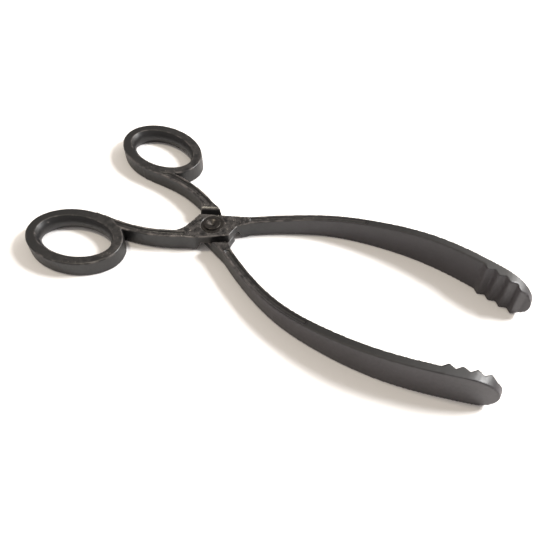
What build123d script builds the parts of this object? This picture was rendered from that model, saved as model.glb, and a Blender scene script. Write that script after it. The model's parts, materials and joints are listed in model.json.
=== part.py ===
"""Spring-loaded scissor tongs: two moulded arms that cross in a half-lap and turn on a riveted pivot.

Frame: +X from the finger loops towards the jaw tips, +Z up, in millimetres. The origin is the centre
of the footprint, on the surface that the tongs lie on. The arms are drawn about the pivot and then
moved to that origin. The rest position is the open one, where the spring holds the stop lug.
"""
import os
from math import atan2, cos, hypot, pi, radians, sin, sqrt

from build123d import *

# ---- overall sizes -------------------------------------------------------------------------------
JAW_REACH = 149.6          # pivot axis to the end of the jaw tip, along X
LOOP_REACH = 82.1          # pivot axis to the far end of the finger loop, along X
HUB_BOTTOM = 0.7           # the hub is held this far off the surface by the loops and the jaws
HUB_HEIGHT = 8.9
LOOP_HEIGHT = 8.8
TIP_HEIGHT = 18.7          # jaw blades are deepest at the tip

# ---- finger loops --------------------------------------------------------------------------------
LOOP_SEMI_LONG = 25.5      # outer ellipse
LOOP_SEMI_SHORT = 17.6
LOOP_TILT = 9.6            # degrees between the ellipse's long axis and X
LOOP_OFFSET_Y = 37.2       # loop centre to the middle of the tongs
LOOP_WALL = 4.8            # ring width on its top face
LOOP_WAIST = 2.0           # how far the rounded bore swells inwards at half height
LOOP_EDGE = 0.6            # outer edge radius

# ---- shanks and jaws -----------------------------------------------------------------------------
SHANK_WIDTH_HUB = 4.6
SHANK_WIDTH_LOOP = 4.4
JAW_WIDTH_HUB = 4.4
JAW_WIDTH_TIP = 3.7
SHANK_ROOT = (-9.0, -11.3)    # where the middle of the shank leaves the hub
SHANK_LAP = 0.3            # how far the shank's edge stands inside the side of the loop
JAW_ROOT = (15.0, 11.2)    # where the middle of the jaw leaves the hub
JAW_BOW = 34.8             # furthest the middle of the jaw stands from the middle of the tongs
JAW_TIP_Y = 24.4           # middle of the jaw, at its tip
REST_LENGTH = 52.6         # length of jaw, from the tip, that lies on the surface
NOSE_HEIGHT = 8.2          # height of the nose's foremost point
NOSE_ROUND_TOP = 14.0      # length of the nose's round above that point
NOSE_ROUND_BOTTOM = 8.0    # and below it
PATH_SPARE = 1.4           # the jaw is drawn this much too long and cut to the nose

# Curves as shares of the way from their first size to their last, along and across.
SHANK_CURVE = [(0.29, 0.59), (0.55, 0.87), (0.80, 0.95)]
JAW_CURVE = [(0.132, 0.44), (0.28, 0.79), (0.44, 0.96), (0.60, 1.0)]
JAW_RETURN = [(0.765, 0.25), (0.897, 0.645)]
TOP_CURVE = [(0.175, 0.07), (0.33, 0.24), (0.49, 0.49), (0.68, 0.80), (0.84, 0.95)]

# ---- teeth: rounded ridges across the inner face of each jaw ---------------------------------------
TOOTH_COUNT = 4
TOOTH_PITCH = 5.4
TOOTH_HEIGHT = 1.9
TOOTH_CREST = 0.7          # crest radius
TOOTH_SETBACK = 6.0        # crest nearest the tip, from the end of the nose

# ---- flute along the top and bottom faces ----------------------------------------------------------
FLUTE_WIDTH = 2.2
FLUTE_DEPTH = 0.9
FLUTE_LENGTH = 53.0        # along X, from the jaw's root

# ---- hub: half-lap joint ----------------------------------------------------------------------------
HUB_LEFT = 9.2             # pivot axis to the hub's loop-side corner
HUB_RIGHT = 11.0           # pivot axis to the hub's jaw-side corner
HUB_CORNER_Y = -2.4        # that corner, to the side of the pivot axis
LAP_GAP = 0.1              # running gap between the two lap faces
LAP_MARGIN = 0.4           # from the closed arm's corner to the step, at the lap face
HUB_RUN = 9.0              # along X, from the hub's full height to the level of the loop or jaw
STEP_RUN = 1.4             # how far the steep part of the step leans back
STEP_LIP_HEIGHT = 0.6      # height of the gentler lip at the top of the step
STEP_LIP_RUN = 1.5         # how far the lip leans back
LAP_ANGLE = 65.0           # direction, from X, that the steps face

# ---- pivot ------------------------------------------------------------------------------------------
RIVET_RADIUS = 1.6
RIVET_HEAD_RADIUS = 4.2
RIVET_HEAD_HEIGHT = 1.1
RIVET_HEAD_SEAT = 0.75     # depth of the head's counterbore in the lower arm
RIVET_HEAD_CLEARANCE = 0.2
TAIL_RADIUS = 4.1          # rolled-over end on top
TAIL_HEIGHT = 0.9
TAIL_CUP_RADIUS = 2.7      # conical hollow of the rolled end
TAIL_CUP_DEPTH = 1.3
BUSH_WALL = 1.0
BUSH_RUNNING_CLEARANCE = 0.05
WASHER_RADIUS = 5.6
WASHER_THICKNESS = 0.5
WASHER_SEAT = 0.6          # depth of the washer's counterbore in the upper arm
WASHER_CLEARANCE = 0.2
END_PLAY = 0.05            # washer to the floor of its counterbore

# ---- torsion spring -----------------------------------------------------------------------------------
WIRE_RADIUS = 0.45
COIL_CLEARANCE = 0.55      # inside of the coil to the bush
COIL_PITCH = 1.0
COIL_TURNS = 3
LEG_LENGTH = 6.6
LEG_DIRECTION = 131.0      # direction of the leg in the lower arm; the upper one mirrors it
SPRING_CLEARANCE = 0.15

# ---- stop lug on the lower lap, in a curved slot of the upper lap ---------------------------------------
STOP_INSET = 3.1           # middle of the lug to the hub's jaw-side corner
STOP_WIDTH = 1.2
STOP_HEIGHT = 1.3
STOP_HALF_ANGLE = 5.0
STOP_CLEARANCE = 0.15
CLOSING_ANGLE = 17.2       # from open until the tips of the jaws are about to meet
STOP_SPARE_ANGLE = 1.5     # the slot is this much longer than the travel

# ---- values that follow ---------------------------------------------------------------------------------
HUB_TOP = HUB_BOTTOM + HUB_HEIGHT
LAP_FACE = HUB_BOTTOM + HUB_HEIGHT / 2
PIVOT_X = (LOOP_REACH - JAW_REACH) / 2
LOOP_REACH_OWN = sqrt((LOOP_SEMI_LONG * cos(radians(LOOP_TILT))) ** 2
                      + (LOOP_SEMI_SHORT * sin(radians(LOOP_TILT))) ** 2)
LOOP_CENTRE_X = LOOP_REACH_OWN - LOOP_REACH
CORNER_TO_STEP = radians(LAP_ANGLE - CLOSING_ANGLE) - atan2(-HUB_CORNER_Y, HUB_RIGHT)
LAP_REACH = hypot(HUB_RIGHT, HUB_CORNER_Y) * cos(CORNER_TO_STEP) + LAP_MARGIN
STOP_RADIUS = HUB_RIGHT - STOP_INSET
TOOTH_LAST_X = JAW_REACH - TOOTH_SETBACK
BUSH_RADIUS = RIVET_RADIUS + BUSH_WALL
BUSH_BORE_RADIUS = BUSH_RADIUS + BUSH_RUNNING_CLEARANCE
COIL_RADIUS = BUSH_RADIUS + COIL_CLEARANCE + WIRE_RADIUS
HEAD_TOP = HUB_BOTTOM + RIVET_HEAD_SEAT
WASHER_BOTTOM = HUB_TOP - WASHER_SEAT + END_PLAY
WASHER_TOP = WASHER_BOTTOM + WASHER_THICKNESS
COIL_HEIGHT = COIL_PITCH * (COIL_TURNS + (2 * LEG_DIRECTION - 180) / 360)
LEG_DRIFT = LEG_LENGTH * COIL_PITCH / (2 * pi * COIL_RADIUS)
POCKET_RADIUS = COIL_RADIUS + WIRE_RADIUS + SPRING_CLEARANCE
POCKET_HALF_HEIGHT = COIL_HEIGHT / 2 + WIRE_RADIUS + SPRING_CLEARANCE
BIG = 3 * (JAW_REACH + LOOP_REACH)


def cylinder_between(radius, z0, z1):
    """Upright cylinder on the pivot axis."""
    return Pos(0, 0, z0) * Cylinder(radius, z1 - z0, align=(Align.CENTER, Align.CENTER, Align.MIN))


def between(start, end, shares):
    """Points between two corners, given as shares of the way along and across."""
    return [(start[0] + (end[0] - start[0]) * u, start[1] + (end[1] - start[1]) * v) for u, v in shares]


def shank_path():
    """Middle line of the shank, from the hub to the side of the loop that faces the other arm."""
    side_y = LOOP_OFFSET_Y - LOOP_SEMI_SHORT + SHANK_WIDTH_LOOP / 2 - SHANK_LAP
    end = (LOOP_CENTRE_X, -side_y)
    return Spline(SHANK_ROOT, *between(SHANK_ROOT, end, SHANK_CURVE), end)


def jaw_path():
    """Middle line of the jaw: it bows out from the hub and comes back in to the tip."""
    tip_x = JAW_REACH + PATH_SPARE
    out = between(JAW_ROOT, (tip_x, JAW_BOW), JAW_CURVE)
    back = between((JAW_ROOT[0], JAW_BOW), (tip_x, JAW_TIP_Y), JAW_RETURN)
    return Spline(JAW_ROOT, *out, *back, (tip_x, JAW_TIP_Y))


def share_at_x(path, x):
    """How far along a path, from 0 to 1, it reaches x. The path runs towards +X."""
    low, high = 0.0, 1.0
    for _ in range(40):
        mid = (low + high) / 2
        if (path @ mid).X < x:
            low = mid
        else:
            high = mid
    return low


def offset_points(path, width_start, width_end, side, count=14):
    """Points beside a path, half a width to its left (side 1) or right (side -1)."""
    points = []
    for i in range(count + 1):
        t = i / count
        centre, along = path @ t, path % t
        half = (width_start + (width_end - width_start) * t) / 2 * side
        points.append((centre.X - along.Y * half, centre.Y + along.X * half))
    return points


def strip(path, width_start, width_end):
    """Flat strip along a smooth path, tapering from one width to the other."""
    left = offset_points(path, width_start, width_end, 1)
    right = offset_points(path, width_start, width_end, -1)
    edges = [Spline(*left), Line(left[-1], right[-1]), Spline(*right[::-1]), Line(right[0], left[0])]
    return make_face(Wire(edges))


def inner_edge_at(x):
    """Where the jaw's inner face is at x, in Y, and the jaw's direction there."""
    path = jaw_path()
    share = share_at_x(path, x)
    along = path % share
    half = (JAW_WIDTH_HUB + (JAW_WIDTH_TIP - JAW_WIDTH_HUB) * share) / 2
    return (path @ share).Y - half / along.X, along


def tooth(x):
    """One ridge in plan: a wave crest that stands off the inner face of the jaw."""
    y, along = inner_edge_at(x)
    across = Vector(along.Y, -along.X)
    centre = Vector(x, y)
    half = along * (TOOTH_PITCH / 2)
    sink = across * (JAW_WIDTH_TIP / 2)
    crest = centre + across * TOOTH_HEIGHT
    foot_a, foot_b = centre - half, centre + half
    outline = Polyline(foot_a - sink, foot_a, crest, foot_b, foot_b - sink, close=True)
    face = make_face(outline)
    tip = face.vertices().sort_by_distance((crest.X, crest.Y, 0))[0]
    return fillet(tip, TOOTH_CREST)


def root_corners(path, width):
    """Outer and inner corner of the end of a strip where it leaves the hub."""
    return [offset_points(path, width, width, side)[0] for side in (1, -1)]


def hub_outline():
    """Plan of the hub: an oblong with straight edges, blended into shank and jaw."""
    jaw_out, jaw_in = root_corners(jaw_path(), JAW_WIDTH_HUB)
    shank_out = root_corners(shank_path(), SHANK_WIDTH_HUB)[0]
    corners = [
        (-HUB_LEFT - 0.4, 3.2), jaw_out, jaw_in, (HUB_RIGHT + 0.5, 4.6), (HUB_RIGHT, HUB_CORNER_Y),
        (-2.7, -11.4), shank_out, (-18.0, -15.5), (-15.9, -12.9), (-13.7, -11.1),
        (-HUB_LEFT - 3.1, -9.1), (-HUB_LEFT - 2.1, -6.9), (-HUB_LEFT - 1.1, -2.0),
    ]
    return make_face(Polyline(*corners, close=True))


def side_profile():
    """Elevation of an arm: level loops, raised hub, jaws that deepen to a rounded nose."""
    nose_top, nose_bottom = JAW_REACH - NOSE_ROUND_TOP, JAW_REACH - NOSE_ROUND_BOTTOM
    loop_end = -LOOP_REACH - 1
    loop_level = -HUB_LEFT - 4 * HUB_RUN
    hub_level = -HUB_LEFT - HUB_RUN
    top_start, top_end = (HUB_RIGHT, HUB_TOP), (nose_top, TIP_HEIGHT)
    top = Spline(top_start, *between(top_start, top_end, TOP_CURVE), top_end, tangents=((1, 0.02), (1, 0)))
    under_nose = EllipticalCenterArc((nose_bottom, NOSE_HEIGHT), NOSE_ROUND_BOTTOM, NOSE_HEIGHT,
                                     start_angle=-90, arc_size=90)
    over_nose = EllipticalCenterArc((nose_top, NOSE_HEIGHT), NOSE_ROUND_TOP, TIP_HEIGHT - NOSE_HEIGHT,
                                    start_angle=0, arc_size=90)
    below = Polyline((loop_end, 0), (loop_level, 0), (hub_level, HUB_BOTTOM), (HUB_RIGHT, HUB_BOTTOM),
                     (JAW_REACH - REST_LENGTH, 0), (nose_bottom, 0))
    above = Polyline(top_start, (hub_level, HUB_TOP), (loop_level, LOOP_HEIGHT),
                     (loop_end, LOOP_HEIGHT), (loop_end, 0))
    outline = [below, under_nose, over_nose, top, above]
    return make_face(Wire.combine([edge for part in outline for edge in part.edges()])[0])


def profile_solid(lift=0.0):
    """The elevation, as wide as any arm, and moved up or down by lift."""
    face = Plane.XZ * side_profile()
    return Pos(0, 0, lift) * extrude(face, BIG / 2, both=True)


def finger_loop():
    """Oval ring with an upright outer wall and a bore that swells inwards at half height."""
    place = Pos(LOOP_CENTRE_X, -LOOP_OFFSET_Y) * Rot(0, 0, LOOP_TILT)

    def oval(inset, z):
        return Pos(0, 0, z) * Ellipse(LOOP_SEMI_LONG - inset, LOOP_SEMI_SHORT - inset)

    disc = extrude(oval(0, 0), LOOP_HEIGHT)
    disc = fillet(disc.edges(), LOOP_EDGE)
    waist = LOOP_WALL + LOOP_WAIST
    bore = loft([oval(LOOP_WALL, 0), oval(waist, LOOP_HEIGHT / 2), oval(LOOP_WALL, LOOP_HEIGHT)])
    return place * disc, place * bore


def path_between(path, start, end, count=6):
    """The stretch of a smooth path between two shares of its length."""
    return Spline(*[path @ (start + (end - start) * i / count) for i in range(count + 1)])


def flutes():
    """Shallow grooves down the middle of the top and bottom faces of the shank and the jaw's root."""
    jaw = jaw_path()
    jaw_end = share_at_x(jaw, JAW_ROOT[0] + FLUTE_LENGTH)
    plan = [path_between(shank_path(), 0, 0.8), path_between(jaw, 0, jaw_end)]
    faces = [strip(path, FLUTE_WIDTH, FLUTE_WIDTH) for path in plan]
    full_height = [extrude(Pos(0, 0, -1) * face, TIP_HEIGHT + 2) for face in faces]
    return [groove - profile_solid(FLUTE_DEPTH) for groove in full_height] \
        + [groove - profile_solid(-FLUTE_DEPTH) for groove in full_height]


def arm_blank():
    """One arm before the half-lap is cut: loop on the -Y side, jaw on the +Y side."""
    shank = strip(shank_path(), SHANK_WIDTH_HUB, SHANK_WIDTH_LOOP)
    jaw = strip(jaw_path(), JAW_WIDTH_HUB, JAW_WIDTH_TIP)
    teeth = [tooth(TOOTH_LAST_X - i * TOOTH_PITCH) for i in range(TOOTH_COUNT)]
    plan = [extrude(face, TIP_HEIGHT + 1) for face in (shank, hub_outline(), jaw, *teeth)]
    bar = (plan[0] + plan[1:]) & profile_solid()
    disc, bore = finger_loop()
    for groove in flutes():
        bar -= groove
    return (bar + disc) - bore


def step_channel(above):
    """What the half-lap takes away: a channel across the hub whose end steps are steep, then gentler."""
    steep = HUB_HEIGHT / 2 - STEP_LIP_HEIGHT
    levels = [(-LAP_GAP / 2, 0), (steep, STEP_RUN), (steep + STEP_LIP_HEIGHT, STEP_RUN + STEP_LIP_RUN)]
    levels.append((levels[-1][0] + 1, levels[-1][1] + STEP_LIP_RUN / STEP_LIP_HEIGHT))
    sections = []
    for height, run in levels:
        z = LAP_FACE + (1 if above else -1) * height
        sections.append(Pos(0, 0, z) * Rot(0, 0, LAP_ANGLE) * Rectangle(2 * (LAP_REACH + run), 4 * HUB_RIGHT))
    return loft(sections, ruled=True)


def spring_room(above):
    """Pocket for half of the coil, and a slot for one leg, in the face of a lap."""
    sign = 1 if above else -1
    edge = LAP_FACE - sign * LAP_GAP
    floor = LAP_FACE + sign * POCKET_HALF_HEIGHT
    room = cylinder_between(POCKET_RADIUS, min(edge, floor), max(edge, floor))
    slot_floor = floor + sign * LEG_DRIFT
    width = 2 * (WIRE_RADIUS + SPRING_CLEARANCE)
    slot = Box(LEG_LENGTH + SPRING_CLEARANCE, width, abs(slot_floor - edge),
               align=(Align.MIN, Align.CENTER, Align.CENTER))
    start = Rot(0, 0, -sign * (LEG_DIRECTION - 90)) * Pos(COIL_RADIUS, 0, (edge + slot_floor) / 2)
    return room + start * Rot(0, 0, -90 * sign) * slot


def arc_block(radius, width, angle_from, angle_to, z0, z1):
    """Block that follows an arc about the pivot axis."""
    ring = cylinder_between(radius + width / 2, z0, z1) - cylinder_between(radius - width / 2, z0, z1)
    reach = radius + width

    def spoke(angle):
        return (reach * 1.5 * cos(radians(angle)), reach * 1.5 * sin(radians(angle)))

    sector = make_face(Polyline((0, 0), spoke(angle_from), spoke(angle_to), close=True))
    return ring & extrude(Pos(0, 0, z0) * sector, z1 - z0)


def upper_arm():
    """Arm whose lap lies on top: bored for the bush, with a seat for the washer."""
    arm = arm_blank() - step_channel(above=False)
    arm -= cylinder_between(BUSH_BORE_RADIUS, 0, HUB_TOP + 1)
    arm -= cylinder_between(WASHER_RADIUS + WASHER_CLEARANCE, HUB_TOP - WASHER_SEAT, HUB_TOP + 1)
    arm -= spring_room(above=True)
    spare = STOP_HALF_ANGLE + STOP_CLEARANCE / radians(STOP_RADIUS)
    arm -= arc_block(STOP_RADIUS, STOP_WIDTH + 2 * STOP_CLEARANCE, -spare,
                     spare + CLOSING_ANGLE + STOP_SPARE_ANGLE,
                     LAP_FACE - LAP_GAP, LAP_FACE + STOP_HEIGHT + 2 * STOP_CLEARANCE)
    return arm


def lower_arm():
    """Arm whose lap lies underneath: holds the bush, the rivet's head and the stop lug."""
    arm = mirror(arm_blank() - step_channel(above=True), Plane.XZ)
    arm -= cylinder_between(BUSH_RADIUS, HEAD_TOP, HUB_TOP + 1)
    arm -= cylinder_between(RIVET_HEAD_RADIUS + RIVET_HEAD_CLEARANCE, 0, HEAD_TOP)
    arm -= spring_room(above=False)
    arm += arc_block(STOP_RADIUS, STOP_WIDTH, -STOP_HALF_ANGLE, STOP_HALF_ANGLE,
                     LAP_FACE - 3 * LAP_GAP, LAP_FACE + STOP_HEIGHT)
    return arm


def pivot_rivet():
    """Rivet with a shallow domed head below and a rolled-over, conically hollow end on top."""
    head_bottom = HEAD_TOP - RIVET_HEAD_HEIGHT
    head = cylinder_between(RIVET_HEAD_RADIUS, head_bottom, HEAD_TOP)
    head = chamfer(head.edges().group_by(Axis.Z)[0], RIVET_HEAD_HEIGHT / 2, RIVET_HEAD_HEIGHT * 0.9)
    shank = cylinder_between(RIVET_RADIUS, head_bottom + RIVET_HEAD_HEIGHT / 2, WASHER_TOP + TAIL_HEIGHT / 2)
    tail = cylinder_between(TAIL_RADIUS, WASHER_TOP, WASHER_TOP + TAIL_HEIGHT)
    tail = fillet(tail.edges().group_by(Axis.Z)[-1], TAIL_HEIGHT * 0.55)
    tail_top = WASHER_TOP + TAIL_HEIGHT
    cup = Pos(0, 0, tail_top) * Cone(0.3, TAIL_CUP_RADIUS, TAIL_CUP_DEPTH,
                                     align=(Align.CENTER, Align.CENTER, Align.MAX))
    return head + shank + tail - cup


def pivot_bush():
    """Sleeve on the rivet: the lower arm is pressed on it and the upper arm turns on it."""
    return cylinder_between(BUSH_RADIUS, HEAD_TOP, WASHER_BOTTOM) \
        - cylinder_between(RIVET_RADIUS, HEAD_TOP, WASHER_BOTTOM)


def rivet_washer():
    """Thin washer under the rolled end, in a counterbore of the upper arm."""
    return cylinder_between(WASHER_RADIUS, WASHER_BOTTOM, WASHER_TOP) \
        - cylinder_between(RIVET_RADIUS, WASHER_BOTTOM, WASHER_TOP)


def torsion_spring():
    """Left-hand coil round the bush, one straight leg in each arm."""
    start_angle = LEG_DIRECTION - 90
    coil = Rot(0, 0, start_angle) * Helix(COIL_PITCH, COIL_HEIGHT, COIL_RADIUS, lefthand=True)
    coil = Pos(0, 0, LAP_FACE - COIL_HEIGHT / 2) * coil
    section = Circle(WIRE_RADIUS)
    wire = sweep(Plane(coil @ 0, z_dir=coil % 0) * section, coil)
    for t, sign in ((0, -1), (1, 1)):
        leg = extrude(Plane(coil @ t, z_dir=(coil % t) * sign) * section, LEG_LENGTH)
        wire += leg
    return wire


NODES = {
    "upper_arm": upper_arm,
    "lower_arm": lower_arm,
    "pivot_rivet": pivot_rivet,
    "pivot_bush": pivot_bush,
    "rivet_washer": rivet_washer,
    "torsion_spring": torsion_spring,
}


def main():
    os.makedirs("parts", exist_ok=True)
    for name, make in NODES.items():
        shape = Pos(PIVOT_X, 0, 0) * make()
        export_step(shape, f"parts/{name}.step")
        box = shape.bounding_box()
        print(name, "solids", len(shape.solids()), "volume", round(shape.volume, 2),
              "x", round(box.min.X, 2), round(box.max.X, 2), "y", round(box.min.Y, 2), round(box.max.Y, 2),
              "z", round(box.min.Z, 2), round(box.max.Z, 2))


main()
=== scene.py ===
import json
from math import cos, pi, radians, sin

import bmesh
import bpy
from bpy.props import FloatProperty, FloatVectorProperty, IntProperty, PointerProperty
from mathutils import Matrix, Vector


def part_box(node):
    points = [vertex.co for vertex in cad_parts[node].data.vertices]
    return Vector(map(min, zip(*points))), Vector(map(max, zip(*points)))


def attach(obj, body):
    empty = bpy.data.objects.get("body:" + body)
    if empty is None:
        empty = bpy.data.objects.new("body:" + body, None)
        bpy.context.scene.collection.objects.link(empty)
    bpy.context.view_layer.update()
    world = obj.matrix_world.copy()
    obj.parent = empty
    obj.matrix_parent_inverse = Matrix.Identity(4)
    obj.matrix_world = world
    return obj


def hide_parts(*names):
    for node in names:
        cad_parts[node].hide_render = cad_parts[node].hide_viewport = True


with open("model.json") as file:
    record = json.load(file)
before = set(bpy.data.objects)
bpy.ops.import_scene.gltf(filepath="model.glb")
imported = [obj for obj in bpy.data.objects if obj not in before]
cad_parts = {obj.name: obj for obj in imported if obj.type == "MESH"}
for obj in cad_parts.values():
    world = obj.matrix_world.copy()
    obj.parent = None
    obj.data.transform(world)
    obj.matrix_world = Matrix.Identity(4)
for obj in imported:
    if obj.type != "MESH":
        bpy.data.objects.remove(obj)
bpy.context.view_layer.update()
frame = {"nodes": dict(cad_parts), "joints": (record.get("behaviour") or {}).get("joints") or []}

bl_info = {
    "name": "Scissor Tongs",
    "version": (1, 0, 0),
    "blender": (4, 5, 0),
    "location": "View3D > Sidebar > Tongs",
    "description": "Moulded scissor tongs with a riveted, sprung pivot, on a pale studio floor",
    "category": "Add Mesh",
}

MM = 0.001
SENSOR_WIDTH = 36           # of the camera, in mm

# Meshes.
WELD_GAP = 0.001 * MM       # CAD corners this close are joined before they are remeshed
SHARP_ANGLE = radians(35)   # turned pieces look smooth across edges flatter than this
ON_AXIS = 1e-6              # a profile point this near the axis, in mm, is one corner and not a ring

# Nylon. The first three are shares of the reach of the marks and painted light, measured from the pivot
# along the tongs.
MARKS_FULL = 0.12           # flow marks are at full strength up to here
PAINTED_SIDE_FULL = 0.2             # the painted shade of the loops' half is full up to here on the jaws' side
PAINTED_SIDE_END = 0.7              # and gone from here on
MARKS_FAINT = 0.06          # strength of the flow marks' bump away from the hub
MARKS_ADDED = 0.75          # strength that they gain at the hub
POLISH = 0.2                # how much smoother the marks are at the hub
SMOOTHER = 0.04             # how far the roughness wavers below its setting
ROUGHER = 0.06              # and above it

# The rivet, in mm. The washer's bore is the shank's radius too.
SHANK_RADIUS = 1.6
LIP_SETBACK = 0.1           # how much less the rolled lip's radius is than the head's
FOOT_ROUND = 0.15           # under the lip, at the washer
CUP_RIM = 2.7               # radius where the hollow cone starts
CUP_FLOOR = 0.3             # radius of its small flat floor
CUP_DEPTH = 1.3
CUP_EDGE_ROUND = 0.12       # the lip's inner edge
CUP_EDGE_OUT = 0.35         # from the cone's start out to the middle of that round
CUP_EDGE_DROP = 0.06        # how far that round drops before the cone starts
CUP_SHARES = (0.04, 0.3, 0.6, 0.9, 0.97)    # points down the cone
# Points of the domed head: share of its radius, and height above its lowest point.
HEAD_DOME = ((0.0, 0.0), (0.45, 0.03), (0.78, 0.16), (0.94, 0.42), (1.0, 0.75))


# ---- small helpers ------------------------------------------------------------------------------

def linear(hex_colour):
    """sRGB hex colour as linear red, green and blue."""
    channels = [int(hex_colour[i:i + 2], 16) / 255 for i in (1, 3, 5)]
    return [c / 12.92 if c <= 0.04045 else ((c + 0.055) / 1.055) ** 2.4 for c in channels]


def per_size(millimetres):
    """Texture scale, in object coordinates, that makes one cell of a pattern this large."""
    return 1 / (millimetres * MM)


def add_node(tree, kind, settings=None, **inputs):
    """Adds a node, sets its properties, and sets or links its inputs.

    An input is named with _ for each space, or i and its number where a node repeats a name.
    """
    node = tree.nodes.new(kind)
    for name, value in (settings or {}).items():
        setattr(node, name, value)
    for name, value in inputs.items():
        key = int(name[1:]) if name[0] == "i" and name[1:].isdigit() else name.replace("_", " ")
        if isinstance(value, bpy.types.NodeSocket):
            tree.links.new(value, node.inputs[key])
        else:
            node.inputs[key].default_value = value
    return node


def new_material(name):
    """A material with an empty node tree, and that tree."""
    material = bpy.data.materials.new(name)
    material.use_nodes = True
    tree = material.node_tree
    tree.nodes.clear()
    return material, tree


def finish_material(material, tree, shader):
    """Joins the shader to a material output."""
    add_node(tree, "ShaderNodeOutputMaterial", Surface=shader.outputs["BSDF"])
    return material


def dress(piece, material):
    """Gives a piece one material in all its slots."""
    if not piece.data.materials:
        piece.data.materials.append(material)
    for slot in piece.material_slots:
        slot.link = "OBJECT"
        slot.material = material


def place(name, mesh):
    """Adds a new object to the scene, at the frame's origin."""
    piece = bpy.data.objects.new(name, mesh)
    bpy.context.scene.collection.objects.link(piece)
    return piece


def swap_in(piece, body, node, material):
    """Dresses a new piece, rides it on its body and lets it stand for a CAD node."""
    dress(piece, material)
    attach(piece, body)
    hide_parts(node)


# ---- materials ----------------------------------------------------------------------------------

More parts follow.
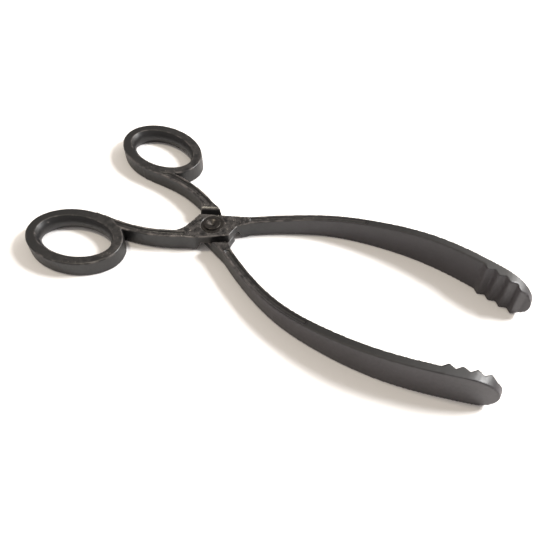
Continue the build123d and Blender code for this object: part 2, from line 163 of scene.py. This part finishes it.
def moulded_black_nylon(props):
    """Black nylon, injection moulded: satin, with glossier, uneven flow marks on top near the pivot.
    Painted shade darkens the top faces and the loops' half; painted highlights mark edges and specks near
    the pivot.
    """
    material, tree = new_material("black_nylon_moulded")
    place_in = add_node(tree, "ShaderNodeTexCoord").outputs["Object"]
    shape = add_node(tree, "ShaderNodeNewGeometry")
    facing = add_node(tree, "ShaderNodeSeparateXYZ", Vector=shape.outputs["Normal"])
    reach = props.marks_and_painted_light_reach

    # Upward faces: 1 where the surface looks up, 0 on the walls.
    upward = add_node(tree, "ShaderNodeMapRange", Value=facing.outputs["Z"], From_Min=0.55, From_Max=0.95)

    # How near the pivot: 1 at the hub, falling to 0 some way along the loops and the jaws.
    along = add_node(tree, "ShaderNodeSeparateXYZ", Vector=place_in)
    from_hub = add_node(tree, "ShaderNodeMath", {"operation": "SUBTRACT"}, i0=along.outputs["X"],
                        i1=pivot_x())
    gap = add_node(tree, "ShaderNodeMath", {"operation": "ABSOLUTE"}, i0=from_hub.outputs[0])
    near_hub = add_node(tree, "ShaderNodeMapRange", Value=gap.outputs[0], From_Min=reach,
                        From_Max=reach * MARKS_FULL)

    # The loops' half, which gets painted shade on its walls and painted highlights on its edges: 1 at the
    # shanks and loops, 0 along the jaws.
    painted_light_side = add_node(tree, "ShaderNodeMapRange", Value=from_hub.outputs[0],
                       From_Min=reach * PAINTED_SIDE_END, From_Max=reach * PAINTED_SIDE_FULL)

    # Slow drift of shade, as pigment and flow leave it: about 14 mm from light to dark.
    drift = add_node(tree, "ShaderNodeTexNoise", Vector=place_in, Scale=per_size(14), Detail=3.0)
    shade = add_node(tree, "ShaderNodeMix", {"data_type": "RGBA"}, i0=drift.outputs["Fac"],
                     i6=(*props.colour_dark, 1), i7=(*props.colour_light, 1))
    # Painted shade: the walls of the loops' half are darkened.
    with_painted_shade = add_node(tree, "ShaderNodeMix", {"data_type": "RGBA"}, i0=painted_light_side.outputs[0],
                       i6=shade.outputs[2], i7=(*props.colour_painted_shade, 1))

    # Top faces: painted shade makes them dark, with a paler painted mottle of glints of about 2.6 mm near
    # the hub.
    mottle = add_node(tree, "ShaderNodeTexNoise", Vector=place_in, Scale=per_size(2.6), Detail=4.0,
                      Roughness=0.6)
    glint_spread = add_node(tree, "ShaderNodeMapRange", Value=mottle.outputs["Fac"], From_Min=0.36,
                      From_Max=0.64, To_Max=near_hub.outputs[0])
    painted_top_shade = add_node(tree, "ShaderNodeMix", {"data_type": "RGBA"}, i0=glint_spread.outputs[0],
                         i6=(*props.colour_top_painted_shade, 1), i7=(*props.colour_top_painted_glint, 1))
    with_painted_tops = add_node(tree, "ShaderNodeMix", {"data_type": "RGBA"}, i0=upward.outputs[0],
                      i6=with_painted_shade.outputs[2], i7=painted_top_shade.outputs[2])

    # Flow marks of 1.6 mm that catch the light, on the same part of the top faces, and faint elsewhere.
    marks = add_node(tree, "ShaderNodeTexNoise", Vector=place_in, Scale=per_size(1.6), Detail=4.0,
                     Roughness=0.62)
    # Where the flow marks and the painted glints go: top faces near the hub.
    marks_and_glints_area = add_node(tree, "ShaderNodeMath", {"operation": "MULTIPLY"}, i0=upward.outputs[0],
                      i1=near_hub.outputs[0])
    mark_strength = add_node(tree, "ShaderNodeMath", {"operation": "MULTIPLY_ADD"},
                             i0=marks_and_glints_area.outputs[0], i1=MARKS_ADDED, i2=MARKS_FAINT)

    # Painted highlights along edges: paler in broken lengths of about 5 mm, and not along the jaws.
    edge = add_node(tree, "ShaderNodeMapRange", Value=shape.outputs["Pointiness"], From_Min=0.506,
                    From_Max=0.54)
    broken = add_node(tree, "ShaderNodeTexNoise", Vector=place_in, Scale=per_size(5), Detail=3.0)
    lengths = add_node(tree, "ShaderNodeMapRange", Value=broken.outputs["Fac"], From_Min=0.45,
                       From_Max=0.6, To_Max=painted_light_side.outputs[0])
    painted_edge_glint = add_node(tree, "ShaderNodeMath", {"operation": "MULTIPLY"}, i0=edge.outputs[0],
                      i1=lengths.outputs[0])
    with_edge_glints = add_node(tree, "ShaderNodeMix", {"data_type": "RGBA"}, i0=painted_edge_glint.outputs[0],
                    i6=with_painted_tops.outputs[2], i7=(*props.colour_edge_glint, 1))

    # Sparse painted glints: pale specks of about 1 mm, among the flow marks.
    speck = add_node(tree, "ShaderNodeTexNoise", Vector=place_in, Scale=per_size(1.0), Detail=2.0)
    painted_glint_specks = add_node(tree, "ShaderNodeMapRange", Value=speck.outputs["Fac"], From_Min=0.65,
                      From_Max=0.76, To_Max=marks_and_glints_area.outputs[0])
    glinted = add_node(tree, "ShaderNodeMix", {"data_type": "RGBA"}, i0=painted_glint_specks.outputs[0],
                       i6=with_edge_glints.outputs[2], i7=(*props.colour_painted_glint, 1))

    # Skin grain all over. The real grain is too fine to show, so it is drawn 0.9 mm coarse.
    grain = add_node(tree, "ShaderNodeTexNoise", Vector=place_in, Scale=per_size(0.9), Detail=2.0)
    fine = add_node(tree, "ShaderNodeBump", Strength=0.3, Distance=props.grain_depth,
                    Height=grain.outputs["Fac"])
    coarse = add_node(tree, "ShaderNodeBump", Strength=mark_strength.outputs[0],
                      Distance=props.mark_depth, Height=marks.outputs["Fac"],
                      Normal=fine.outputs["Normal"])

    # Roughness wavers with the flow marks, and drops where they are polished.
    roughness = add_node(tree, "ShaderNodeMapRange", Value=marks.outputs["Fac"], From_Min=0.3,
                         From_Max=0.7, To_Min=props.roughness - SMOOTHER,
                         To_Max=props.roughness + ROUGHER)
    polished = add_node(tree, "ShaderNodeMath", {"operation": "MULTIPLY_ADD"},
                        i0=marks_and_glints_area.outputs[0], i1=-POLISH, i2=roughness.outputs[0])
    shader = add_node(tree, "ShaderNodeBsdfPrincipled", Base_Color=glinted.outputs[2],
                      Roughness=polished.outputs[0], IOR=1.53, Metallic=0.0,
                      Normal=coarse.outputs["Normal"])
    return finish_material(material, tree, shader)


def blackened_steel(props):
    """Steel with a black oxide finish, cold headed: dark, smooth, with a hard glint."""
    material, tree = new_material("black_oxide_steel_headed")
    place_in = add_node(tree, "ShaderNodeTexCoord").outputs["Object"]
    mottle = add_node(tree, "ShaderNodeTexNoise", Vector=place_in, Scale=per_size(1.6), Detail=4.0)
    shade = add_node(tree, "ShaderNodeMix", {"data_type": "RGBA"}, i0=mottle.outputs["Fac"],
                     i6=(*props.steel_dark, 1), i7=(*props.steel_light, 1))
    roughness = add_node(tree, "ShaderNodeMapRange", Value=mottle.outputs["Fac"], From_Min=0.3,
                         From_Max=0.7, To_Min=0.24, To_Max=0.40)
    pits = add_node(tree, "ShaderNodeTexNoise", Vector=place_in, Scale=per_size(0.45), Detail=2.0)
    bump = add_node(tree, "ShaderNodeBump", Strength=0.3, Distance=0.03 * MM, Height=pits.outputs["Fac"])
    shader = add_node(tree, "ShaderNodeBsdfPrincipled", Base_Color=shade.outputs[2],
                      Roughness=roughness.outputs[0], Metallic=0.85, Normal=bump.outputs["Normal"])
    return finish_material(material, tree, shader)


def turned_steel():
    """Mild steel, turned: bright, with fine rings round the axis."""
    material, tree = new_material("mild_steel_turned")
    place_in = add_node(tree, "ShaderNodeTexCoord").outputs["Object"]
    stretched = add_node(tree, "ShaderNodeMapping", Vector=place_in, Scale=(0.08, 0.08, 1.0))
    rings = add_node(tree, "ShaderNodeTexNoise", Vector=stretched.outputs[0], Scale=per_size(0.12),
                     Detail=1.0)
    roughness = add_node(tree, "ShaderNodeMapRange", Value=rings.outputs["Fac"], To_Min=0.22,
                         To_Max=0.42)
    bump = add_node(tree, "ShaderNodeBump", Strength=0.2, Distance=0.01 * MM, Height=rings.outputs["Fac"])
    shader = add_node(tree, "ShaderNodeBsdfPrincipled", Base_Color=(*linear("#b9b6b1"), 1),
                      Roughness=roughness.outputs[0], Metallic=1.0, Normal=bump.outputs["Normal"])
    return finish_material(material, tree, shader)


def drawn_wire():
    """Music wire, cold drawn: grey steel with faint die lines."""
    material, tree = new_material("music_wire_drawn")
    place_in = add_node(tree, "ShaderNodeTexCoord").outputs["Object"]
    lines = add_node(tree, "ShaderNodeTexNoise", Vector=place_in, Scale=per_size(0.3), Detail=3.0)
    shade = add_node(tree, "ShaderNodeMix", {"data_type": "RGBA"}, i0=lines.outputs["Fac"],
                     i6=(*linear("#8f8c88"), 1), i7=(*linear("#aeaba6"), 1))
    roughness = add_node(tree, "ShaderNodeMapRange", Value=lines.outputs["Fac"], To_Min=0.25,
                         To_Max=0.40)
    shader = add_node(tree, "ShaderNodeBsdfPrincipled", Base_Color=shade.outputs[2],
                      Roughness=roughness.outputs[0], Metallic=1.0)
    return finish_material(material, tree, shader)


def studio_paper(colour):
    """White background paper, matt: hardly any shine, and a gloss that wavers faintly with the fibre."""
    material, tree = new_material("white_paper_matt")
    place_in = add_node(tree, "ShaderNodeTexCoord").outputs["Object"]
    fibre = add_node(tree, "ShaderNodeTexNoise", Vector=place_in, Scale=per_size(2.5), Detail=3.0)
    roughness = add_node(tree, "ShaderNodeMapRange", Value=fibre.outputs["Fac"], To_Min=0.85,
                         To_Max=0.95)
    shader = add_node(tree, "ShaderNodeBsdfPrincipled", Base_Color=(*colour, 1),
                      Roughness=roughness.outputs[0], Specular_IOR_Level=0.1)
    return finish_material(material, tree, shader)


# ---- meshes -------------------------------------------------------------------------------------

def moulded_mesh(node, voxel, passes):
    """The CAD shape as one even skin with its edges and creases softened, as a mould leaves them."""
    source = node.data.copy()
    shape = bmesh.new()
    shape.from_mesh(source)
    bmesh.ops.remove_doubles(shape, verts=shape.verts, dist=WELD_GAP)
    shape.to_mesh(source)
    shape.free()
    work = place("moulding_work", source)
    skin = work.modifiers.new("skin", "REMESH")
    skin.mode = "VOXEL"
    skin.voxel_size = voxel
    skin.use_smooth_shade = True
    soften = work.modifiers.new("soften", "SMOOTH")
    soften.factor = 0.5
    soften.iterations = passes
    bpy.context.view_layer.update()
    seen = work.evaluated_get(bpy.context.evaluated_depsgraph_get())
    mesh = bpy.data.meshes.new_from_object(seen)
    mesh.materials.clear()
    bpy.data.objects.remove(work)
    if not mesh.polygons:
        raise RuntimeError(f"{node.name}: the remesh came out empty")
    mesh.shade_smooth()
    return mesh


def arc(radius_at, height_at, radius, start, end, count=8):
    """Points of a round in a turned profile, as (radius, height), from one angle in degrees to another."""
    angles = [radians(start + (end - start) * i / count) for i in range(count + 1)]
    return [(radius_at + radius * cos(a), height_at + radius * sin(a)) for a in angles]


def turned_mesh(name, profile, axis_x, closed=False, segments=128):
    """A profile of (radius, height) in mm, turned about an upright axis. A closed profile makes a ring."""
    shape = bmesh.new()
    rings = []
    for radius, height in profile:
        count = segments if radius > ON_AXIS else 1
        turn = [2 * pi * i / count for i in range(count)]
        rings.append([shape.verts.new((axis_x + radius * MM * cos(a), radius * MM * sin(a), height * MM))
                      for a in turn])
    pairs = list(zip(rings, rings[1:] + rings[:1])) if closed else list(zip(rings, rings[1:]))
    for lower, upper in pairs:
        for i in range(segments):
            corners = [lower[i % len(lower)], lower[(i + 1) % len(lower)],
                       upper[(i + 1) % len(upper)], upper[i % len(upper)]]
            shape.faces.new(list(dict.fromkeys(corners)))
    bmesh.ops.recalc_face_normals(shape, faces=shape.faces)
    mesh = bpy.data.meshes.new(name)
    shape.to_mesh(mesh)
    shape.free()
    mesh.shade_smooth()
    mesh.set_sharp_from_angle(angle=SHARP_ANGLE)
    return mesh


def pivot_x():
    """Where the pivot axis stands along X, in metres."""
    return frame["joints"][0]["pos_m"][0]


# ---- sizes and colours a user would change --------------------------------------------------------

class TongsArmSettings(bpy.types.PropertyGroup):
    skin_size: FloatProperty(name="Skin size", description="Cell size of the moulded skin",
                             default=0.38 * MM, unit="LENGTH", precision=5)
    soften_passes: IntProperty(name="Softening", description="How far the mould rounds edges and creases",
                               default=3, min=0, max=12)
    roughness: FloatProperty(name="Roughness", description="Roughness of the walls", default=0.45,
                             min=0.1, max=1.0, subtype="FACTOR")
    # Reach from the pivot of the flow marks, the painted glints and the painted shade.
    marks_and_painted_light_reach: FloatProperty(name="Marks reach", description="How far from the pivot flow marks, painted glints and painted shade reach",
                               default=70 * MM, unit="LENGTH")
    grain_depth: FloatProperty(name="Grain depth", description="Depth of the fine skin grain",
                               default=0.02 * MM, unit="LENGTH", precision=5)
    mark_depth: FloatProperty(name="Flow mark depth", description="Depth of the flow marks on top faces",
                              default=0.14 * MM, unit="LENGTH", precision=5)
    colour_dark: FloatVectorProperty(name="Dark shade", description="Darker shade of the black nylon",
                                     default=linear("#272427"), subtype="COLOR", min=0, max=1)
    colour_light: FloatVectorProperty(name="Light shade", description="Lighter shade of the black nylon",
                                      default=linear("#353135"), subtype="COLOR", min=0, max=1)
    # Painted shade for the walls of the loops' half.
    colour_painted_shade: FloatVectorProperty(name="Painted shade", description="Painted shade on the walls of the loops' half",
                                        default=linear("#100f10"), subtype="COLOR", min=0, max=1)
    # Painted shade for top faces, and a painted glint mottle on them near the hub.
    colour_top_painted_glint: FloatVectorProperty(name="Top painted glint", description="Painted glint mottle on faces that look up",
                                    default=linear("#3d3a38"), subtype="COLOR", min=0, max=1)
    colour_top_painted_shade: FloatVectorProperty(name="Top painted shade", description="Painted shade on faces that look up",
                                         default=linear("#080707"), subtype="COLOR", min=0, max=1)
    # Painted highlight along edges.
    colour_edge_glint: FloatVectorProperty(name="Edge glint", description="Painted highlight along edges",
                                     default=linear("#57524f"), subtype="COLOR", min=0, max=1)
    # Painted glint specks near the hub.
    colour_painted_glint: FloatVectorProperty(name="Glint speck", description="Painted glint specks among the flow marks",
                                      default=linear("#7d766f"), subtype="COLOR", min=0, max=1)


class TongsPivotSettings(bpy.types.PropertyGroup):
    lip_round: FloatProperty(name="Lip round", description="Radius of the rivet's rolled lip, in mm",
                             default=0.38, min=0.1, max=0.5)
    washer_round: FloatProperty(name="Washer edge", description="Edge radius of the washer, in mm",
                                default=0.14, min=0.02, max=0.24)
    steel_dark: FloatVectorProperty(name="Dark steel", description="Darker shade of the oxide finish",
                                    default=linear("#2b2927"), subtype="COLOR", min=0, max=1)
    steel_light: FloatVectorProperty(name="Light steel", description="Lighter shade of the oxide finish",
                                     default=linear("#45413e"), subtype="COLOR", min=0, max=1)


class TongsStageSettings(bpy.types.PropertyGroup):
    target: FloatVectorProperty(name="Camera target", description="Point that the camera looks at",
                                default=(7.09 * MM, -10.65 * MM, 5.2 * MM), subtype="TRANSLATION")
    azimuth: FloatProperty(name="Azimuth", description="Camera turn about the upright axis",
                           default=radians(29.28), subtype="ANGLE")
    elevation: FloatProperty(name="Elevation", description="Camera height above the horizon",
                             default=radians(51.49), subtype="ANGLE")
    roll: FloatProperty(name="Roll", description="Camera turn about its own line of sight",
                        default=radians(-1.14), subtype="ANGLE")
    distance: FloatProperty(name="Distance", description="Camera to target", default=272.25 * MM,
                            unit="LENGTH")
    lens: FloatProperty(name="Lens", description="Focal length in mm on a 36 mm sensor", default=38.09)
    floor_colour: FloatVectorProperty(name="Floor", description="Colour of the paper floor",
                                      default=linear("#f4f2f1"), subtype="COLOR", min=0, max=1)
    key_power: FloatProperty(name="Key light", description="Power of the lamp at the right, in watts",
                             default=18.0, min=0)
    window_power: FloatProperty(name="Window light", description="Power of the large lamp behind, in watts",
                                default=10.0, min=0)
    window_colour: FloatVectorProperty(name="Window colour", description="Colour of the large lamp behind",
                                       default=(1.0, 0.94, 0.88), subtype="COLOR", min=0, max=1)
    left_power: FloatProperty(name="Left light", description="Power of the lamp high at the left, in watts",
                              default=4.0, min=0)
    left_colour: FloatVectorProperty(name="Left colour", description="Colour of the faint lamp at the left",
                                     default=(1.0, 0.91, 0.74), subtype="COLOR", min=0, max=1)
    ambient: FloatProperty(name="Ambient", description="Brightness of the room", default=0.5, min=0)
    ambient_colour: FloatVectorProperty(name="Room colour", description="Colour of the room's light",
                                        default=(1.0, 0.935, 0.895), subtype="COLOR", min=0, max=1)


# ---- operators ------------------------------------------------------------------------------------

class TONGS_OT_arms(bpy.types.Operator):
    """Build both moulded arms"""
    bl_idname = "tongs.arms"
    bl_label = "Moulded Arms"

    def execute(self, context):
        props = context.scene.tongs_arms
        nylon = moulded_black_nylon(props)
        for node, body in (("upper_arm", "upper"), ("lower_arm", "lower")):
            mesh = moulded_mesh(frame["nodes"][node], props.skin_size, props.soften_passes)
            swap_in(place(node + "_moulding", mesh), body, node, nylon)
        return {"FINISHED"}


class TONGS_OT_rivet(bpy.types.Operator):
    """Build the pivot rivet with its domed head and rolled, hollow end"""
    bl_idname = "tongs.rivet"
    bl_label = "Pivot Rivet"

    def execute(self, context):
        props = context.scene.tongs_pivot
        low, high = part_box("pivot_rivet")
        bottom = low.z / MM
        top = high.z / MM
        head = (high.x - low.x) / 2 / MM
        head_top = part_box("pivot_bush")[0].z / MM
        washer_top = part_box("rivet_washer")[1].z / MM
        lip = head - LIP_SETBACK
        lip_round = props.lip_round

        # From the axis below, out over the domed head, then in to the shank and up it.
        profile = [(head * share, bottom + rise) for share, rise in HEAD_DOME]
        profile += [(head, head_top), (SHANK_RADIUS, head_top), (SHANK_RADIUS, washer_top)]

        # Out along the washer, and over the rolled lip to its inner edge.
        profile += arc(lip - FOOT_ROUND, washer_top + FOOT_ROUND, FOOT_ROUND, -90, 0, 4)
        profile += arc(lip - lip_round, top - lip_round, lip_round, 0, 90, 8)
        profile += arc(CUP_RIM + CUP_EDGE_OUT, top - CUP_EDGE_ROUND, CUP_EDGE_ROUND, 90, 150, 4)

        # Down the hollow cone to its floor.
        for share in CUP_SHARES:
            radius = CUP_RIM + (CUP_FLOOR - CUP_RIM) * share
            profile.append((radius, top - CUP_EDGE_DROP - (CUP_DEPTH - CUP_EDGE_DROP) * share))
        profile += [(CUP_FLOOR * 0.5, top - CUP_DEPTH), (0, top - CUP_DEPTH)]
        piece = place("pivot_rivet_headed", turned_mesh("pivot_rivet_headed", profile, pivot_x()))
        swap_in(piece, "lower", "pivot_rivet", blackened_steel(props))
        return {"FINISHED"}


class TONGS_OT_washer(bpy.types.Operator):
    """Build the thin washer under the rivet's rolled end, in the rivet's steel"""
    bl_idname = "tongs.washer"
    bl_label = "Rivet Washer"

    def execute(self, context):
        props = context.scene.tongs_pivot
        low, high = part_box("rivet_washer")
        bottom = low.z / MM
        top = high.z / MM
        outer = (high.x - low.x) / 2 / MM
        edge = props.washer_round
        profile = [(SHANK_RADIUS, bottom)]
        profile += arc(outer - edge, bottom + edge, edge, -90, 0, 6)
        profile += arc(outer - edge, top - edge, edge, 0, 90, 6)
        profile += [(SHANK_RADIUS, top)]
        mesh = turned_mesh("rivet_washer_pressed", profile, pivot_x(), closed=True)
        steel = bpy.data.materials["black_oxide_steel_headed"]
        swap_in(place("rivet_washer_pressed", mesh), "lower", "rivet_washer", steel)
        return {"FINISHED"}


class TONGS_OT_inner_parts(bpy.types.Operator):
    """Finish the bush and the torsion spring, which keep their CAD shapes"""
    bl_idname = "tongs.inner_parts"
    bl_label = "Bush and Spring"

    def execute(self, context):
        for node, slot, steel in (("pivot_bush", "bush_steel", turned_steel()),
                                  ("torsion_spring", "spring_steel", drawn_wire())):
            dress(frame["nodes"][node], steel)
        return {"FINISHED"}


class TONGS_OT_stage(bpy.types.Operator):
    """Add the paper floor, the lamps and the camera"""
    bl_idname = "tongs.stage"
    bl_label = "Stage"

    def execute(self, context):
        props = context.scene.tongs_stage
        scene = context.scene
        self.floor(props)
        self.lamp("key_lamp", towards=(16.3, 11.9, 18.3), distance=1.1, size=0.27,
                  power=props.key_power)
        self.lamp("window_lamp", towards=(8.0, 15.0, 11.0), distance=1.3, size=0.9,
                  power=props.window_power, colour=props.window_colour)
        self.lamp("left_lamp", towards=(-6.0, -1.5, 20.0), distance=1.2, size=0.15,
                  power=props.left_power, colour=props.left_colour)
        scene.world = bpy.data.worlds.new("white_room")
        scene.world.use_nodes = True
        back = scene.world.node_tree.nodes["Background"]
        back.inputs["Color"].default_value = (*props.ambient_colour, 1)
        back.inputs["Strength"].default_value = props.ambient
        scene.view_settings.view_transform = "Standard"
        self.camera(props, scene)
        return {"FINISHED"}

    @staticmethod
    def floor(props):
        """Round sheet of paper, 8 m across, so that its edge stays out of sight."""
        shape = bmesh.new()
        bmesh.ops.create_circle(shape, cap_ends=True, segments=96, radius=4.0)
        mesh = bpy.data.meshes.new("paper_floor")
        shape.to_mesh(mesh)
        shape.free()
        floor = place("paper_floor", mesh)
        dress(floor, studio_paper(props.floor_colour))

    @staticmethod
    def lamp(name, towards, distance, size, power, colour=(1, 1, 1)):
        """Square soft lamp that looks back at the frame's origin, with its distance and side in metres."""
        data = bpy.data.lights.new(name, "AREA")
        data.size = size
        data.energy = power
        data.color = colour
        lamp = bpy.data.objects.new(name, data)
        direction = Vector(towards).normalized()
        lamp.location = direction * distance
        lamp.rotation_euler = direction.to_track_quat("Z", "Y").to_euler()
        bpy.context.scene.collection.objects.link(lamp)

    @staticmethod
    def camera(props, scene):
        """Camera that looks at the target from its turn, height and distance, rolled about its own line."""
        around = props.azimuth
        above = props.elevation
        back = Vector((sin(around) * cos(above), -cos(around) * cos(above), sin(above)))
        right = Vector((cos(around), sin(around), 0))
        up = back.cross(right)
        rolled_right = right * cos(props.roll) + up * sin(props.roll)
        rolled_up = up * cos(props.roll) - right * sin(props.roll)
        data = bpy.data.cameras.new("camera")
        data.lens = props.lens
        data.sensor_width = SENSOR_WIDTH
        data.clip_start = 0.01
        data.clip_end = 20
        camera = bpy.data.objects.new("camera", data)
        turn = Matrix((rolled_right, rolled_up, back)).transposed().to_4x4()
        camera.matrix_world = Matrix.Translation(Vector(props.target) + back * props.distance) @ turn
        scene.collection.objects.link(camera)
        scene.camera = camera


class TONGS_PT_panel(bpy.types.Panel):
    """Lists the tongs' pieces and stage"""
    bl_label = "Scissor Tongs"
    bl_idname = "TONGS_PT_panel"
    bl_space_type = "VIEW_3D"
    bl_region_type = "UI"
    bl_category = "Tongs"

    def draw(self, context):
        for step in STEPS:
            self.layout.operator(step.bl_idname)
        for group in SETTINGS:
            for name in SETTINGS[group].__annotations__:
                self.layout.prop(getattr(context.scene, group), name)


STEPS = (TONGS_OT_arms, TONGS_OT_rivet, TONGS_OT_washer, TONGS_OT_inner_parts, TONGS_OT_stage)
SETTINGS = {"tongs_arms": TongsArmSettings, "tongs_pivot": TongsPivotSettings,
            "tongs_stage": TongsStageSettings}
CLASSES = (*SETTINGS.values(), *STEPS, TONGS_PT_panel)


def register():
    """Registers the classes and hangs their settings on the scene."""
    for cls in CLASSES:
        bpy.utils.register_class(cls)
    for name, group in SETTINGS.items():
        setattr(bpy.types.Scene, name, PointerProperty(type=group))


def unregister():
    """Takes away what register added."""
    for name in SETTINGS:
        delattr(bpy.types.Scene, name)
    for cls in reversed(CLASSES):
        bpy.utils.unregister_class(cls)


def main():
    """Builds every piece and the stage."""
    register()
    bpy.ops.tongs.arms()
    bpy.ops.tongs.rivet()
    bpy.ops.tongs.washer()
    bpy.ops.tongs.inner_parts()
    bpy.ops.tongs.stage()


if __name__ == "__main__":
    main()
